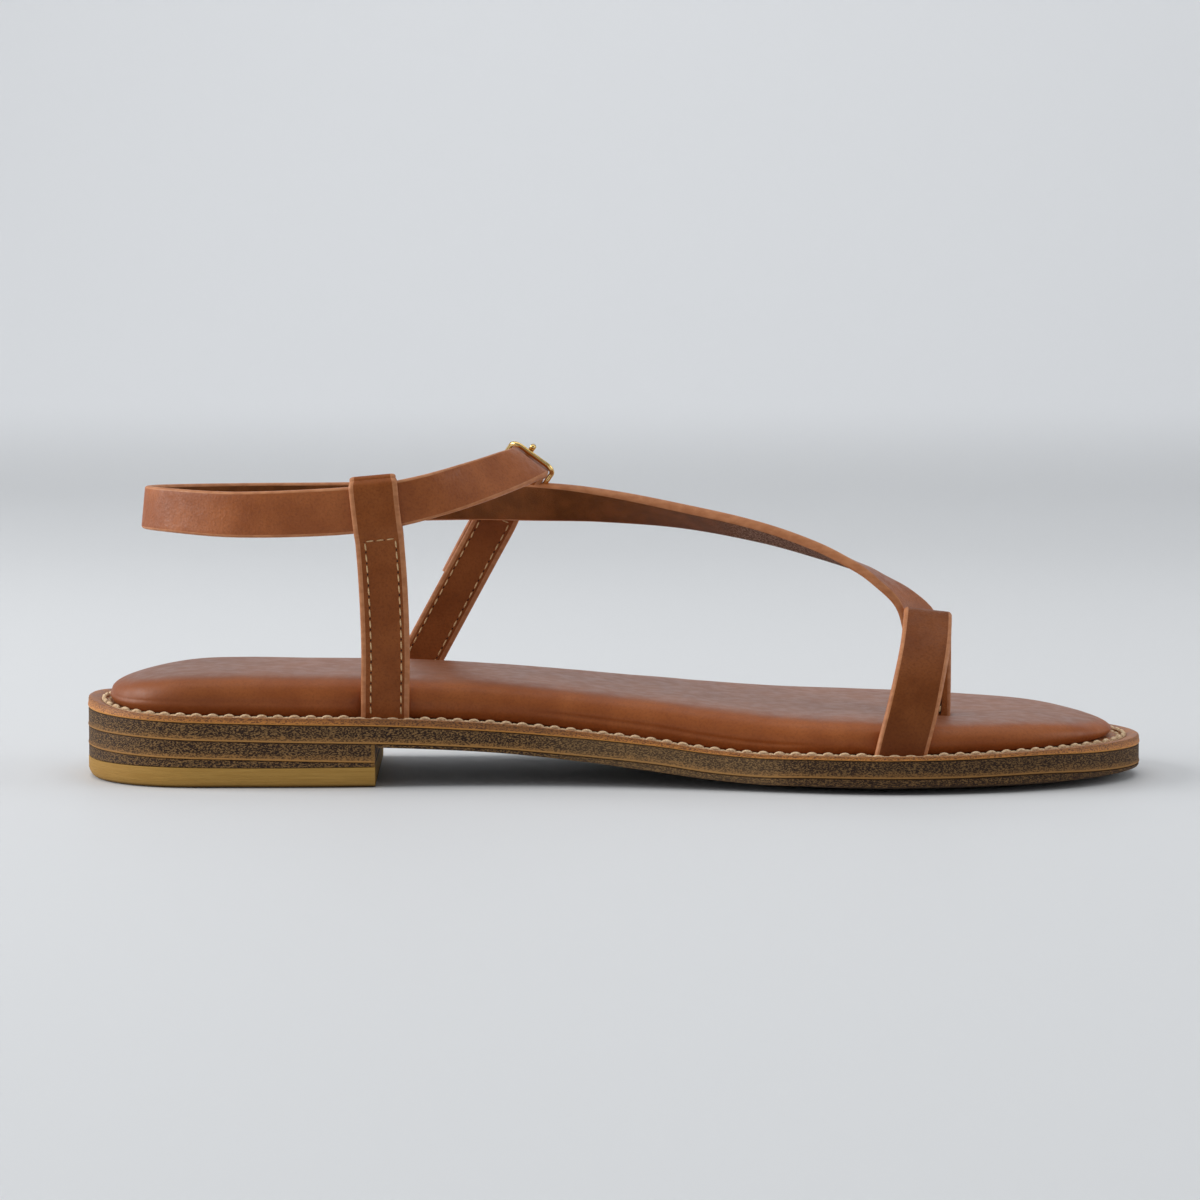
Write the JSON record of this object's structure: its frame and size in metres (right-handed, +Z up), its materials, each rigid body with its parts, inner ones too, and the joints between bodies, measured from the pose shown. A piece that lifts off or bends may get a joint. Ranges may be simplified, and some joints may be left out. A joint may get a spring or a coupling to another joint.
{
  "type": "flat sandal",
  "caption": "Left strappy flat sandal: padded footbed on a welted, stacked sole with a low heel, a toe loop, a slanting instep strap and a buckled ankle strap.",
  "frame": {"origin": "middle of the part's box in plan, on the floor plane that the heel and forefoot stand on", "axes": "+X along the sole toward the toe, +Y toward the outer side of the left foot, +Z up"},
  "size_m": [0.2564, 0.0858, 0.0804],
  "materials": {
    "strap_leather": "satin tan leather with paler burnished edges",
    "footbed_leather": "smooth padded leather",
    "welt_leather": "mottled leather board with cream stitching",
    "sole_board": "dark speckled stacked board with tan seams",
    "sole_rubber": "matt dark tread",
    "top_piece_rubber": "matt tan rubber",
    "buckle_gold": "polished pale gold"
  },
  "bodies": {
    "root": {"upper": "strap_leather", "footbed": "footbed_leather", "welt": "welt_leather", "midsole": "sole_board", "outsole": "sole_rubber", "heel_lift_upper": "sole_board", "heel_lift_lower": "sole_board", "heel_top_piece": "top_piece_rubber", "buckle_frame": "buckle_gold", "buckle_prong": "buckle_gold"}
  },
  "joints": []
}
